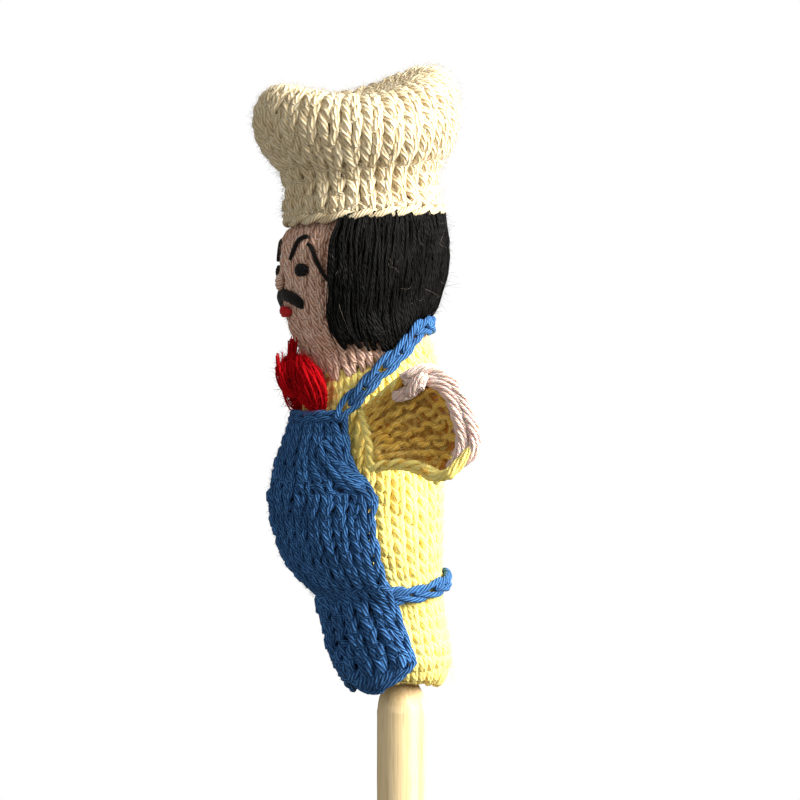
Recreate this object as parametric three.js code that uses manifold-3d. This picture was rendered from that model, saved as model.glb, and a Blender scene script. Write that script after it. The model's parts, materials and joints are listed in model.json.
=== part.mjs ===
// A knitted cook, pushed onto a round wooden stick.
// Millimetres, +Z up. The origin is the centre of the stick's lower end; the figure faces -Y, its left is +X.
import * as THREE from 'three';
import { mergeVertices } from 'three/addons/utils/BufferGeometryUtils.js';
import Module from 'manifold-3d';

const wasm = await Module();
wasm.setup();

// ---- Driving dimensions ----
const STICK_RADIUS = 4;
const SPIGOT_RADIUS = 2.4;
const SHOULDER_START = 60.5;
const SHOULDER_END = 65.4;
const SPIGOT_TOP = 113;
const END_BEVEL = 0.4;

const GAP = 0.3; // between pieces that touch
const KNIT = 1.5; // thickness of one layer of knitting
const HEM = 65.4;
const STUFFING_FLOOR = 69;
const HEAD_TOP = 152.4;
const WIDTH_RATIO = 0.95; // the figure's width over its depth

// The figure's outside: height, and how far it stands out in front of and behind the stick's axis.
const FIGURE = [
  [62, 6.0, 7.4],
  [66, 7.7, 8.0],
  [70, 9.8, 8.0],
  [75, 11.0, 6.9],
  [79.5, 12.4, 6.2],
  [84, 16.9, 6.1],
  [88, 18.6, 6.2],
  [93, 19.8, 6.3],
  [98, 19.6, 6.3],
  [103, 18.0, 6.2],
  [108, 16.3, 6.2],
  [112, 15.9, 6.1],
  [116, 16.0, 5.6],
  [119, 17.0, 4.9],
  [121, 17.9, 3.7],
  [123.5, 18.8, 2.9],
  [126.5, 19.5, 3.8],
  [130, 19.9, 4.9],
  [134, 19.8, 5.4],
  [137.2, 19.3, 5.3],
  [139, 17.5, 4.7],
  [142, 16.9, 4.6],
  [146, 16.4, 3.8],
  [149.4, 14.2, 0.9],
  [151.4, 11.2, -3.0],
  [HEAD_TOP, 7.0, -6.9],
];

// The neck line is a plane that falls towards the front.
const NECK_HEIGHT = 120.1;
const NECK_FALL = 0.47;

// The hat's outside, from the band's lower edge to the middle of the dished top: radius and height.
const HAT = [
  [13.1, 140.4],
  [12.8, 143],
  [12.35, 145.6],
  [13.4, 147.8],
  [15.4, 150.6],
  [16.7, 154.4],
  [16.5, 158],
  [14.6, 160.6],
  [11.2, 161.4],
  [6, 159.6],
  [0, 158.8],
];
const HAT_WALL = 1.4;
const HAT_CENTRE = [
  [140, 6.2],
  [146, 7.0],
  [155, 7.6],
  [165, 7.6],
];
const BAND_RISE = 0.09; // the band's lower edge climbs towards the back
const CROWN_RISE = 1.9; // the crown's rim is higher at the back
const CROWN_LEAN = 0.75; // and on the right
const CROWN_SADDLE = 1.5; // and it dips at both sides
const CROWN_RIM = 11; // the rim's radius

// Strips laid on the figure: angle from the front in degrees, and height.
const STRAP_LINE = [
  [54, 109.4],
  [64, 111.7],
  [77, 114.6],
  [92, 117.0],
  [109.5, 119.5],
  [122.5, 121.5],
  [135, 122.4],
  [155, 122.7],
  [180, 122.7],
];
const STRAP_HALF_WIDTH = 1.1;
const STRAP_THICKNESS = 1.7;
const STRAP_STANDOFF = 0.5; // it bridges the hollow of the neck
const TIE_LINE = [
  [80, 79.5],
  [110, 80.0],
  [145, 81.2],
  [180, 82.2],
];
const TIE_HALF_WIDTH = 1.5;
const TIE_THICKNESS = 1.6;

// The apron: half-angle of its edge at each height.
const APRON_EDGE = [
  [63.5, 90],
  [66.8, 88],
  [68.3, 85],
  [74.6, 80],
  [78.7, 75.5],
  [81.2, 75.5],
  [84, 78],
  [90.7, 77.5],
  [94.6, 81],
  [96.6, 83],
  [97.7, 73],
  [98.8, 65],
  [103.9, 57],
  [107.6, 51.5],
  [108.4, 50.5],
];
const BIB_TOP = 108.3;
const APRON_HEM = [
  [0, 66.8],
  [18, 65.8],
  [36, 64.2],
  [55, 65.1],
  [75, 65.9],
  [90, 66.4],
];

const HAIR_FRONT = 55;
const HAIR_FOOT = 119.8;
const HAIR_THICKNESS = 1.5;

const EYE_ANGLE = 30;
const EYE_HEIGHT = 131.5;
const BROW = [
  [16.5, 133.0],
  [25, 135.7],
  [37, 136.7],
  [43, 133.7],
  [53, 129.5],
];
const BROW_HALF_WIDTH = 0.4;
const BROW_THICKNESS = 0.6;
const NOSE_HEIGHT = 129.5;
const MOUSTACHE_ANGLE = 31;
const MOUTH_HEIGHT = 124.8;

const BOW_HEIGHT = 113.2;

// The left arm: its sewn edge, the way it points, and its free end as length along the arm and height.
const SEAM_FOOT = [80, 99.8];
const SEAM_HEAD = [68, 108.8];
const SEAM_STANDOFF = 1.25;
const ARM_SWEEP = 47; // degrees back from straight out
const ARM_END = [
  [15.0, 98.9],
  [18.7, 103.2],
  [17.4, 108.6],
  [14.6, 113.2],
  [10.4, 115.0],
  [7.0, 113.8],
];
const ARM_CURL = 2.0;
const ARM_END_CURL = 1.6;
const SLEEVE_SHARE = 0.81;
const HAND_SHARE = 0.83;
const SLEEVE_THICKNESS = 1.6;
const HAND_THICKNESS = 2.2;

const FACETS = 28;
const FILLING_FACETS = 20;

// ---- Curves and surfaces ----
const radians = THREE.MathUtils.degToRad;
const { lerp } = THREE.MathUtils;

// A smooth value at one place on a table of rows, whose first column rises.
function along(rows, at, column = 1) {
  const last = rows.length - 1;
  if (at <= rows[0][0]) {
    return rows[0][column];
  }
  if (at >= rows[last][0]) {
    return rows[last][column];
  }
  const i = rows.findIndex((row) => row[0] > at) - 1;
  const slope = (k) => {
    const low = rows[Math.max(k - 1, 0)];
    const high = rows[Math.min(k + 1, last)];
    return (high[column] - low[column]) / (high[0] - low[0]);
  };
  const step = rows[i + 1][0] - rows[i][0];
  const t = (at - rows[i][0]) / step;
  const ease = t * t * (3 - 2 * t);
  const rise = slope(i) * step * t * (1 - t) ** 2 - slope(i + 1) * step * t * t * (1 - t);
  return lerp(rows[i][column], rows[i + 1][column], ease) + rise;
}

const figureRadius = (z) => (along(FIGURE, z, 1) + along(FIGURE, z, 2)) / 2;
const figureCentre = (z) => (along(FIGURE, z, 1) - along(FIGURE, z, 2)) / 2;

// A point at an angle from the front, at a radius round a centre that lies in front of the stick.
function around(angle, radius, z, centre) {
  const x = WIDTH_RATIO * radius * Math.sin(angle);
  return new THREE.Vector3(x, -centre - radius * Math.cos(angle), z);
}

const onFigure = (angle, z, out) => around(angle, figureRadius(z) + out, z, figureCentre(z));

// ---- Solids ----
// Shared corners, no slivers, faces out.
function closed(geometry) {
  geometry.deleteAttribute('normal');
  geometry.deleteAttribute('uv');
  const merged = mergeVertices(geometry, 1e-4);
  const index = merged.index.array;
  const kept = [];
  for (let i = 0; i < index.length; i += 3) {
    const [a, b, c] = index.slice(i, i + 3);
    if (a !== b && b !== c && c !== a) {
      kept.push(a, b, c);
    }
  }
  merged.setIndex(kept);
  return volume(merged) < 0 ? flipped(merged) : merged;
}

function volume(geometry) {
  const corner = (i) => new THREE.Vector3().fromBufferAttribute(geometry.attributes.position, i);
  const index = geometry.index.array;
  let total = 0;
  for (let i = 0; i < index.length; i += 3) {
    total += corner(index[i]).dot(corner(index[i + 1]).cross(corner(index[i + 2])));
  }
  return total / 6;
}

function flipped(geometry) {
  geometry.setIndex(Array.from(geometry.index.array).reverse());
  return geometry;
}

// Moves every corner of a geometry to where place(corner) says.
function reshape(geometry, place) {
  const position = geometry.attributes.position;
  for (let i = 0; i < position.count; i += 1) {
    const moved = place(new THREE.Vector3().fromBufferAttribute(position, i));
    position.setXYZ(i, moved.x, moved.y, moved.z);
  }
  return geometry;
}

// A block with shares u along, t through and v up, each from 0 to 1, laid where place(u, v, t) says.
function strip(steps, rows, place) {
  const block = new THREE.BoxGeometry(1, 1, 1, steps, 1, rows);
  return closed(reshape(block, (p) => place(p.x + 0.5, p.z + 0.5, p.y + 0.5)));
}

// A ball with each axis from -1 to 1, laid where place(ball point) says.
const blob = (place) => closed(reshape(new THREE.SphereGeometry(1, 12, 8), place));

// A turned solid: its outline is radius and height, and centreAt(z) says how far forward its middle lies.
function turned(outline, centreAt, facets = FACETS) {
  const lathe = new THREE.LatheGeometry(outline, facets);
  const place = (p) => {
    const angle = Math.atan2(p.x, p.z);
    return around(angle, Math.hypot(p.x, p.z), p.y, centreAt(p.y));
  };
  return closed(reshape(lathe, place));
}

const point = (radius, z) => new THREE.Vector2(radius, z);

function figureOutline(low, high, inset, steps) {
  const outline = [];
  for (let i = 0; i <= steps; i += 1) {
    const z = lerp(low, high, i / steps);
    outline.push(point(Math.max(figureRadius(z) - inset, 0), z));
  }
  return outline;
}

// An outline moved inwards by a distance, with its last point kept on the axis.
function moved(outline, distance) {
  return outline.map((p, i) => {
    const before = outline[Math.max(i - 1, 0)];
    const after = outline[Math.min(i + 1, outline.length - 1)];
    const way = after.clone().sub(before).normalize();
    const inner = point(p.x - way.y * distance, p.y + way.x * distance);
    return i === outline.length - 1 ? point(0, p.y - distance) : inner;
  });
}

function toManifold(geometry) {
  const vertProperties = new Float32Array(geometry.attributes.position.array);
  const triVerts = new Uint32Array(geometry.index.array);
  return new wasm.Manifold(new wasm.Mesh({ numProp: 3, vertProperties, triVerts }));
}

function toGeometry(solid) {
  const mesh = solid.getMesh();
  const geometry = new THREE.BufferGeometry();
  geometry.setAttribute('position', new THREE.BufferAttribute(new Float32Array(mesh.vertProperties), 3));
  geometry.setIndex(Array.from(mesh.triVerts));
  return geometry;
}

// The solid with each of the others cut away.
function cut(geometry, ...others) {
  const start = toManifold(geometry);
  return toGeometry(others.reduce((solid, other) => solid.subtract(toManifold(other)), start));
}

// Everything above the neck line moved up by rise, or everything below it.
function beyondNeck(above, rise) {
  const SIZE = 200;
  const slab = new THREE.BoxGeometry(SIZE, SIZE, SIZE);
  slab.translate(0, 0, above ? SIZE / 2 : -SIZE / 2);
  slab.rotateX(Math.atan(NECK_FALL));
  slab.translate(0, 0, NECK_HEIGHT + rise);
  return closed(slab);
}

// ---- Materials ----
const finish = (color, roughness) => () =>
  new THREE.MeshStandardMaterial({ color, roughness, metalness: 0 });
const wood = finish('#e3cda0', 0.7);
const yellow = finish('#f6e083', 0.95);
const skin = finish('#dcbcae', 0.95);
const cream = finish('#ecdcbd', 0.95);
const black = finish('#15140f', 0.9);
const red = finish('#b8000f', 0.9);
const blue = finish('#2560ae', 0.95);
const filling = finish('#f2f0ea', 1);

const group = new THREE.Group();

function add(name, geometry, material) {
  const mesh = new THREE.Mesh(geometry, material());
  mesh.name = name;
  group.add(mesh);
}

// A left piece and its mirror image.
function addPair(left, right, geometry, material) {
  add(left, geometry, material);
  const mirror = geometry.clone().scale(-1, 1, 1);
  add(right, flipped(mirror), material);
}

// ---- Stick ----
function stick() {
  const shoulder = new THREE.SplineCurve([
    point(STICK_RADIUS, SHOULDER_START),
    point(STICK_RADIUS - 0.4, SHOULDER_START + 2.5),
    point(SPIGOT_RADIUS, SHOULDER_END),
  ]);
  const outline = [
    point(0, 0),
    point(STICK_RADIUS - END_BEVEL, 0),
    point(STICK_RADIUS, END_BEVEL),
    ...shoulder.getPoints(6),
    point(SPIGOT_RADIUS, SPIGOT_TOP - END_BEVEL),
    point(SPIGOT_RADIUS - END_BEVEL, SPIGOT_TOP),
    point(0, SPIGOT_TOP),
  ];
  return closed(new THREE.LatheGeometry(outline, 32).rotateX(Math.PI / 2));
}

function stickChannel() {
  const radius = SPIGOT_RADIUS + GAP;
  const top = SPIGOT_TOP + GAP;
  const channel = new THREE.CylinderGeometry(radius, radius, top, 32).rotateX(Math.PI / 2);
  return closed(channel.translate(0, 0, top / 2));
}

// ---- Figure ----
function bodyShell() {
  const outside = figureOutline(HEM, 126, 0, 18);
  const inside = figureOutline(HEM, 126, KNIT, 18).reverse();
  const tube = turned([...outside, ...inside, outside[0]], figureCentre);
  return cut(tube, beyondNeck(true, 0));
}

function headShell() {
  const outside = [...figureOutline(106, HEAD_TOP - 1, 0, 15), point(0, HEAD_TOP)];
  const inside = moved(outside, KNIT).reverse();
  const dome = turned([...outside, ...inside, outside[0]], figureCentre);
  return cut(dome, beyondNeck(false, GAP));
}

function bodyStuffing() {
  const outline = figureOutline(STUFFING_FLOOR, 126, KNIT + GAP, 12);
  const fill = turned([point(0, STUFFING_FLOOR), ...outline, point(0, 126)], figureCentre, FILLING_FACETS);
  return cut(fill, beyondNeck(true, -GAP / 2), stickChannel());
}

function headStuffing() {
  const outside = [...figureOutline(106, HEAD_TOP - 1, 0, 18), point(0, HEAD_TOP)];
  const inside = moved(outside, KNIT + 2 * GAP);
  const fill = turned([point(0, inside[0].y), ...inside], figureCentre, FILLING_FACETS);
  return cut(fill, beyondNeck(false, GAP));
}

// ---- Hat ----
const hatCentre = (z) => along(HAT_CENTRE, z);

// The band's lower edge climbs to the back, and the crown slouches.
function slouch(p) {
  const back = p.y + hatCentre(p.z);
  const low = THREE.MathUtils.clamp((146 - p.z) / 6, 0, 1);
  const high = THREE.MathUtils.clamp((p.z - 146) / 12, 0, 1);
  const reach = Math.max(Math.hypot(p.x, back), CROWN_RIM);
  const slope = (CROWN_RISE * back - CROWN_LEAN * p.x) / reach;
  const saddle = (CROWN_SADDLE * (back * back - p.x * p.x)) / (reach * reach);
  const lift = low * BAND_RISE * (p.y + HAT_CENTRE[0][1]) + high * (slope + saddle);
  return new THREE.Vector3(p.x, p.y, p.z + lift);
}

function hatOutline(inset) {
  const outside = new THREE.SplineCurve(HAT.map(([radius, z]) => point(radius, z))).getPoints(20);
  outside[outside.length - 1].x = 0;
  return inset > 0 ? moved(outside, inset) : outside;
}

function hat() {
  const outside = hatOutline(0);
  const inside = hatOutline(HAT_WALL).reverse();
  inside.push(point(outside[0].x - HAT_WALL, outside[0].y));
  return reshape(turned([...outside, ...inside, outside[0]], hatCentre), slouch);
}

function hatStuffing() {
  const inner = hatOutline(HAT_WALL + GAP).filter((p) => p.y > 148);
  const fill = reshape(turned([point(0, inner[0].y), ...inner], hatCentre, FILLING_FACETS), slouch);
  const dome = [point(0, 138), ...figureOutline(138, HEAD_TOP - 1, -GAP, 8), point(0, HEAD_TOP + GAP)];
  return cut(fill, turned(dome, figureCentre, FILLING_FACETS));
}

function bandFoot(angle) {
  const edge = around(angle, HAT[0][0], HAT[0][1], HAT_CENTRE[0][1]);
  return slouch(edge).z;
}

// ---- Hair and face ----
function hair() {
  return strip(24, 5, (u, v, t) => {
    const degrees = lerp(HAIR_FRONT, 360 - HAIR_FRONT, u);
    const foot = Math.max(HAIR_FOOT, along(STRAP_LINE, Math.min(degrees, 360 - degrees)) + 1.45);
    const z = lerp(foot, bandFoot(radians(degrees)) - GAP, v);
    return onFigure(radians(degrees), z, GAP + HAIR_THICKNESS * t);
  });
}

// A stroke that runs along a line of angles and heights, pressed on the face.
function stroke(line, halfWidth, thickness, steps) {
  const start = line[0][0];
  const end = line[line.length - 1][0];
  return strip(steps, 1, (u, v, t) => {
    const degrees = lerp(start, end, u);
    const z = along(line, degrees) + (2 * v - 1) * halfWidth;
    return onFigure(radians(degrees), z, GAP + thickness * t);
  });
}

// A rounded pad pressed on the figure: half its width in degrees, half its height and half its thickness.
function pad(degrees, z, halfAngle, halfHeight, halfThickness) {
  return blob((p) => {
    const angle = radians(degrees + halfAngle * p.x);
    return onFigure(angle, z + halfHeight * p.z, GAP + halfThickness * (1 + p.y));
  });
}

function moustache() {
  const DROOP = 1.9;
  return strip(16, 1, (u, v, t) => {
    const side = 2 * u - 1;
    const halfHeight = 0.25 + 0.4 * Math.sin(Math.PI * Math.min(Math.abs(side) * 1.15, 1));
    const z = NOSE_HEIGHT - 1.9 - DROOP * side * side + (2 * v - 1) * halfHeight;
    return onFigure(radians(MOUSTACHE_ANGLE * side), z, GAP + 0.9 * t);
  });
}

// ---- Bow tie ----
function bowLoop() {
  return blob((p) => {
    const angle = radians(22.6 + 13.4 * p.x);
    const halfHeight = 3.8 + 0.5 * p.x;
    return onFigure(angle, BOW_HEIGHT + halfHeight * p.z, GAP + 1.4 * (1 + p.y));
  });
}

// A short end of yarn, thick where it leaves the knot.
function bowTail(start, end) {
  const axis = new THREE.Vector3().subVectors(end, start);
  const outline = [point(0, 0), point(0.9, 0.3), point(0.85, axis.length() * 0.6)];
  outline.push(point(0.4, axis.length()), point(0, axis.length()));
  const turn = new THREE.Quaternion().setFromUnitVectors(new THREE.Vector3(0, 1, 0), axis.normalize());
  const tail = new THREE.LatheGeometry(outline, 10).applyQuaternion(turn);
  return closed(tail.translate(start.x, start.y, start.z));
}

// ---- Apron ----
function apron() {
  return strip(20, 16, (u, v, t) => {
    const side = 2 * u - 1;
    const top = lerp(APRON_HEM[1][1], BIB_TOP, v);
    const degrees = side * along(APRON_EDGE, top);
    const foot = along(APRON_HEM, Math.abs(degrees));
    const z = lerp(foot, BIB_TOP, v);
    return onFigure(radians(degrees), z, GAP + KNIT * t);
  });
}

function band(line, halfWidth, thickness, standoff) {
  return strip(28, 1, (u, v, t) => {
    const start = line[0][0];
    const degrees = lerp(start, 360 - start, u);
    const z = along(line, Math.min(degrees, 360 - degrees)) + (2 * v - 1) * halfWidth;
    return onFigure(radians(degrees), z, standoff + thickness * t);
  });
}

// ---- Arms ----
// A point on the left arm: share u from the sewn edge to the free end, share v from foot to head,
// and distance w in front of the middle of the knitting.
function onArm(u, v, w) {
  const foot = onFigure(radians(SEAM_FOOT[0]), SEAM_FOOT[1], SEAM_STANDOFF);
  const head = onFigure(radians(SEAM_HEAD[0]), SEAM_HEAD[1], SEAM_STANDOFF);
  const sweep = radians(ARM_SWEEP);
  const out = new THREE.Vector3(Math.cos(sweep), Math.sin(sweep), 0);
  const up = new THREE.Vector3().subVectors(head, foot).normalize();
  const front = new THREE.Vector3().crossVectors(out, up).normalize();
  const end = new THREE.SplineCurve(ARM_END.map(([length, z]) => point(length, z))).getPoint(v);
  const edge = Math.abs(2 * v - 1) ** 2.5;
  const curl = u * (ARM_CURL * edge + ARM_END_CURL * u ** 3);
  const middle = foot.clone().lerp(head, 0.5);
  const start = foot.clone().lerp(head, v);
  const tip = middle.clone().addScaledVector(out, end.x + 0.48 * curl).setZ(end.y);
  return start.lerp(tip, u).addScaledVector(front, curl + w);
}

function armPiece(from, to, thickness, steps) {
  return strip(steps, 10, (u, v, t) => onArm(lerp(from, to, u), v, thickness * (t - 0.5)));
}

// ---- Assembly ----
add('stick', stick(), wood);
add('body', bodyShell(), yellow);
add('body_stuffing', bodyStuffing(), filling);
add('head', headShell(), skin);
add('head_stuffing', headStuffing(), filling);
add('hat', hat(), cream);
add('hat_stuffing', hatStuffing(), filling);
add('hair', hair(), black);
addPair('left_eyebrow', 'right_eyebrow', stroke(BROW, BROW_HALF_WIDTH, BROW_THICKNESS, 12), black);
addPair('left_eye', 'right_eye', pad(EYE_ANGLE, EYE_HEIGHT, 5.4, 1.05, 0.45), black);
add('nose', pad(0, NOSE_HEIGHT, 6.5, 1.35, 0.5), skin);
add('moustache', moustache(), black);
add('mouth', pad(0, MOUTH_HEIGHT, 12, 0.8, 0.35), red);
add('bow_knot', pad(0, BOW_HEIGHT, 7.4, 2.2, 1.7), red);
addPair('bow_loop_left', 'bow_loop_right', bowLoop(), red);
const leftTail = [new THREE.Vector3(2.4, -20.6, 111.8), new THREE.Vector3(3.6, -21.6, 116.2)];
const topTail = [new THREE.Vector3(0.6, -18.9, 116.1), new THREE.Vector3(2.2, -18.6, 119.4)];
add('bow_tail_left', bowTail(...leftTail), red);
add('bow_tail_top', bowTail(...topTail), red);
add('apron', apron(), blue);
add('neck_strap', band(STRAP_LINE, STRAP_HALF_WIDTH, STRAP_THICKNESS, STRAP_STANDOFF), blue);
add('waist_tie', band(TIE_LINE, TIE_HALF_WIDTH, TIE_THICKNESS, GAP), blue);
addPair('left_arm', 'right_arm', armPiece(0, SLEEVE_SHARE, SLEEVE_THICKNESS, 10), yellow);
addPair('left_hand', 'right_hand', armPiece(HAND_SHARE, 1, HAND_THICKNESS, 3), skin);

export default group;
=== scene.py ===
"""The looks of a knitted cook puppet on a round stick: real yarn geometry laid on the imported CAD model."""
import json
import math

import bpy
import numpy as np
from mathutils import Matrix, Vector
from mathutils.bvhtree import BVHTree


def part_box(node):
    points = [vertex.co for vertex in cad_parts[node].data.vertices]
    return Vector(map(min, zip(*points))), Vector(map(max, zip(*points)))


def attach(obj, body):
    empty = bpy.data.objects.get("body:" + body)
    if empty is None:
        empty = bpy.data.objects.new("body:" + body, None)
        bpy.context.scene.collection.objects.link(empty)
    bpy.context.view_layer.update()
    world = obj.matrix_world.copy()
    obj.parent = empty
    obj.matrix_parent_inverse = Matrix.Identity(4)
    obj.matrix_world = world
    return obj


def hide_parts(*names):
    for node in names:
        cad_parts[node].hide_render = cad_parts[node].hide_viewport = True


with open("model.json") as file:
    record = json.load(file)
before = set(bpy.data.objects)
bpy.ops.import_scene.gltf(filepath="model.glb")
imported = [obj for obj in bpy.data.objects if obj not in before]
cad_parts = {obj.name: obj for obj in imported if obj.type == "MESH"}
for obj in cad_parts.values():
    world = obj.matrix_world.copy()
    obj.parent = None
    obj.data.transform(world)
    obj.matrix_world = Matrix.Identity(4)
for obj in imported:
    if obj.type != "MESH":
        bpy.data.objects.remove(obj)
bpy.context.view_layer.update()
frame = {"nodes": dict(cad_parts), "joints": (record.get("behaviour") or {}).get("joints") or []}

MM = 0.001
TURN = 2 * math.pi

# ---- Camera: almost the figure's exact left side, turned a little to its front ----
VIEW_AZIMUTH = 73.0
LENS = 200.0
SENSOR = 36.0
FRAME_WIDTH = 128.8  # millimetres across the picture at the stick
LOOK_HEIGHT = 110.7
LOOK_SHIFT = -0.3

view = math.radians(VIEW_AZIMUTH)
TO_CAMERA = np.array([math.sin(view), -math.cos(view), 0.0])
TO_RIGHT = np.array([math.cos(view), math.sin(view), 0.0])


def shown(name, data):
    """A new object in the scene."""
    piece = bpy.data.objects.new(name, data)
    bpy.context.scene.collection.objects.link(piece)
    return piece


camera = shown("camera", bpy.data.cameras.new("camera"))
camera.data.lens = LENS
camera.data.sensor_width = SENSOR
aim = TO_RIGHT * LOOK_SHIFT + np.array([0, 0, LOOK_HEIGHT])
camera.location = Vector((aim + TO_CAMERA * FRAME_WIDTH * LENS / SENSOR) * MM)
camera.rotation_euler = Vector(TO_CAMERA).to_track_quat("Z", "Y").to_euler()
camera.data.clip_start = 0.01
bpy.context.scene.camera = camera


# ---- Surfaces ----
def tree_of(*nodes):
    """A search tree of the CAD nodes' faces, in millimetres."""
    corners, faces = [], []
    for name in nodes:
        mesh = frame["nodes"][name].data
        start = len(corners)
        corners += [v.co * 1000 for v in mesh.vertices]
        faces += [[start + i for i in p.vertices] for p in mesh.polygons]
    return BVHTree.FromPolygons(corners, faces)


def corners_of(node):
    """The corners of a CAD node's mesh, in millimetres."""
    return np.array([v.co * 1000 for v in frame["nodes"][node].data.vertices], float)


def box_of(node):
    """The middle and the half size of a CAD node's box, in millimetres."""
    low, high = (np.array(c) * 1000 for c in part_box(node))
    return (low + high) / 2, (high - low) / 2


def unit(v):
    return v / np.maximum(np.linalg.norm(v, axis=-1, keepdims=True), 1e-9)


class Surface:
    """A smooth surface over a grid of points. a runs round it and f up it, both shares from 0 to 1."""

    def __init__(self, points, wraps, towards=None, smooth=3):
        p = np.array(points, float)
        for _ in range(smooth):
            p = self.softened(p, wraps)
        if wraps:
            across = np.roll(p, -1, 0) - np.roll(p, 1, 0)
        else:
            across = np.gradient(p, axis=0)
        normal = unit(np.cross(across, np.gradient(p, axis=1)))
        outward = p - p.mean((0, 1)) if towards is None else np.broadcast_to(towards, p.shape)
        if (normal * outward).sum() < 0:
            normal = -normal
        self.p, self.n, self.wraps = p, normal, wraps

    @staticmethod
    def softened(p, wraps):
        """Every point moved to the average of its neighbours, the open edges left where they are."""
        q = p.copy()
        if wraps:
            q = (np.roll(p, 1, 0) + 2 * p + np.roll(p, -1, 0)) / 4
        else:
            q[1:-1] = (p[:-2] + 2 * p[1:-1] + p[2:]) / 4
        r = q.copy()
        r[:, 1:-1] = (q[:, :-2] + 2 * q[:, 1:-1] + q[:, 2:]) / 4
        return r

    def mix(self, values, a, f):
        """Grid values read between their points."""
        rows = values.shape[1]
        y = np.asarray(f, float) * (rows - 1)
        j = np.clip(np.floor(y).astype(int), 0, rows - 2)
        v = (y - j)[..., None]
        count = len(values)
        if self.wraps:
            x = np.asarray(a, float) % 1 * count
            i = np.floor(x).astype(int) % count
            k = (i + 1) % count
            u = (x - np.floor(x))[..., None]
        else:
            x = np.asarray(a, float) * (count - 1)
            i = np.clip(np.floor(x).astype(int), 0, count - 2)
            k = i + 1
            u = (x - i)[..., None]
        low = values[i, j] * (1 - u) + values[k, j] * u
        high = values[i, j + 1] * (1 - u) + values[k, j + 1] * u
        return low * (1 - v) + high * v

    def at(self, a, f, out):
        """Points that stand out from the surface by a distance, and the surface's normals there."""
        a, f = np.broadcast_arrays(a, f)
        normal = unit(self.mix(self.n, a, f))
        return self.mix(self.p, a, f) + normal * np.asarray(out)[..., None], normal


FIGURE = tree_of("body", "head")
HEIGHTS = np.arange(65.5, 150, 0.5)


def middle_of_figure():
    """The figure's middle from front to back, at each of HEIGHTS."""
    found = []
    for z in HEIGHTS:
        front = FIGURE.ray_cast(Vector((0, -60, z)), Vector((0, 1, 0)))[0]
        back = FIGURE.ray_cast(Vector((0, 60, z)), Vector((0, -1, 0)))[0]
        found.append((front.y + back.y) / 2)
    return np.array(found)


MIDDLE = middle_of_figure()


def ring_point(tree, degrees, z):
    """Where a level ray towards the figure's middle meets the tree, or None."""
    angle = math.radians(degrees)
    out = Vector((math.sin(angle), -math.cos(angle), 0))
    centre = Vector((0, float(np.interp(z, HEIGHTS, MIDDLE)), z))
    reach = 60
    return tree.ray_cast(centre + out * reach, -out, reach)[0]


def span(tree, degrees, low, high, step=0.2):
    """The lowest and highest level at which the tree is met in that direction."""
    met = [z for z in np.arange(low, high, step) if ring_point(tree, degrees, z) is not None]
    return (met[0], met[-1]) if met else None


def ring_surface(node, low, high, angles, shapes, levels=64, top=None):
    """The outside of a node between its own edges, met by level rays on the shapes' tree."""
    own = tree_of(node)
    points = []
    for degrees in angles:
        first, last = span(own, degrees, low, high)
        last = last if top is None else top
        column = [ring_point(shapes, degrees, z) for z in np.linspace(first, last, levels)]
        points.append([p if p is not None else Vector((0, 0, 0)) for p in column])
    return points


AROUND = np.arange(0, 360, 3.0)
body_surface = Surface(ring_surface("body", 65, 126, AROUND, FIGURE), True)
head_surface = Surface(ring_surface("head", 105, 141, AROUND, FIGURE, top=141), True)
hair_angles = np.arange(56, 305, 3.0)
hair_surface = Surface(ring_surface("hair", 115, 146, hair_angles, tree_of("hair")), False)


def hat_surface_points(angles, steps=90):
    """The hat from its lower edge to the middle of its top, in equal steps along its outline."""
    tree = tree_of("hat")
    low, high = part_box("hat")
    centre = Vector((0, (low.y + high.y) / 2, low.z + 0.5 * (high.z - low.z))) * 1000
    points = []
    for degrees in angles:
        angle = math.radians(degrees)
        column = []
        for tilt in np.linspace(-70, 90, 220):
            rise = math.radians(tilt)
            flat = math.cos(rise)
            out = Vector((math.sin(angle) * flat, -math.cos(angle) * flat, math.sin(rise)))
            hit = tree.ray_cast(centre + out * 60, -out, 60)[0]
            if hit is not None:
                column.append(hit)
        column = np.array(column)
        run = np.concatenate([[0], np.cumsum(np.linalg.norm(np.diff(column, axis=0), axis=1))])
        even = np.linspace(0, run[-1], steps)
        points.append(np.stack([np.interp(even, run, column[:, k]) for k in range(3)], -1))
    return points


hat_surface = Surface(hat_surface_points(AROUND), True)


def apron_surface_points(columns=72, levels=90):
    """The apron's outside, between its side edges and from its hem to the top of its bib."""
    tree = tree_of("apron")
    low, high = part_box("apron")
    bottom, top = low.z * 1000, high.z * 1000 - 0.1
    edge_at = np.arange(bottom + 0.6, top, 0.4)
    edge = []
    for z in edge_at:
        met = [d for d in np.arange(0, 95, 0.5) if ring_point(tree, d, z) is not None]
        edge.append(met[-1])
    hem_at = np.arange(0, 86, 2.0)
    hem = [span(tree, d, bottom - 0.5, bottom + 6)[0] for d in hem_at]
    points = []
    for side in np.linspace(-1, 1, columns):
        column = []
        for share in np.linspace(0, 1, levels):
            degrees = side * float(np.interp(bottom + share * (top - bottom), edge_at, edge))
            foot = float(np.interp(abs(degrees), hem_at, hem)) + 0.05
            z = foot + share * (top - foot)
            hit = None
            reach = degrees
            while hit is None:
                hit = ring_point(tree, reach, z)
                reach *= 0.995
            column.append(hit)
        points.append(column)
    return points


apron_surface = Surface(apron_surface_points(), False)


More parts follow.
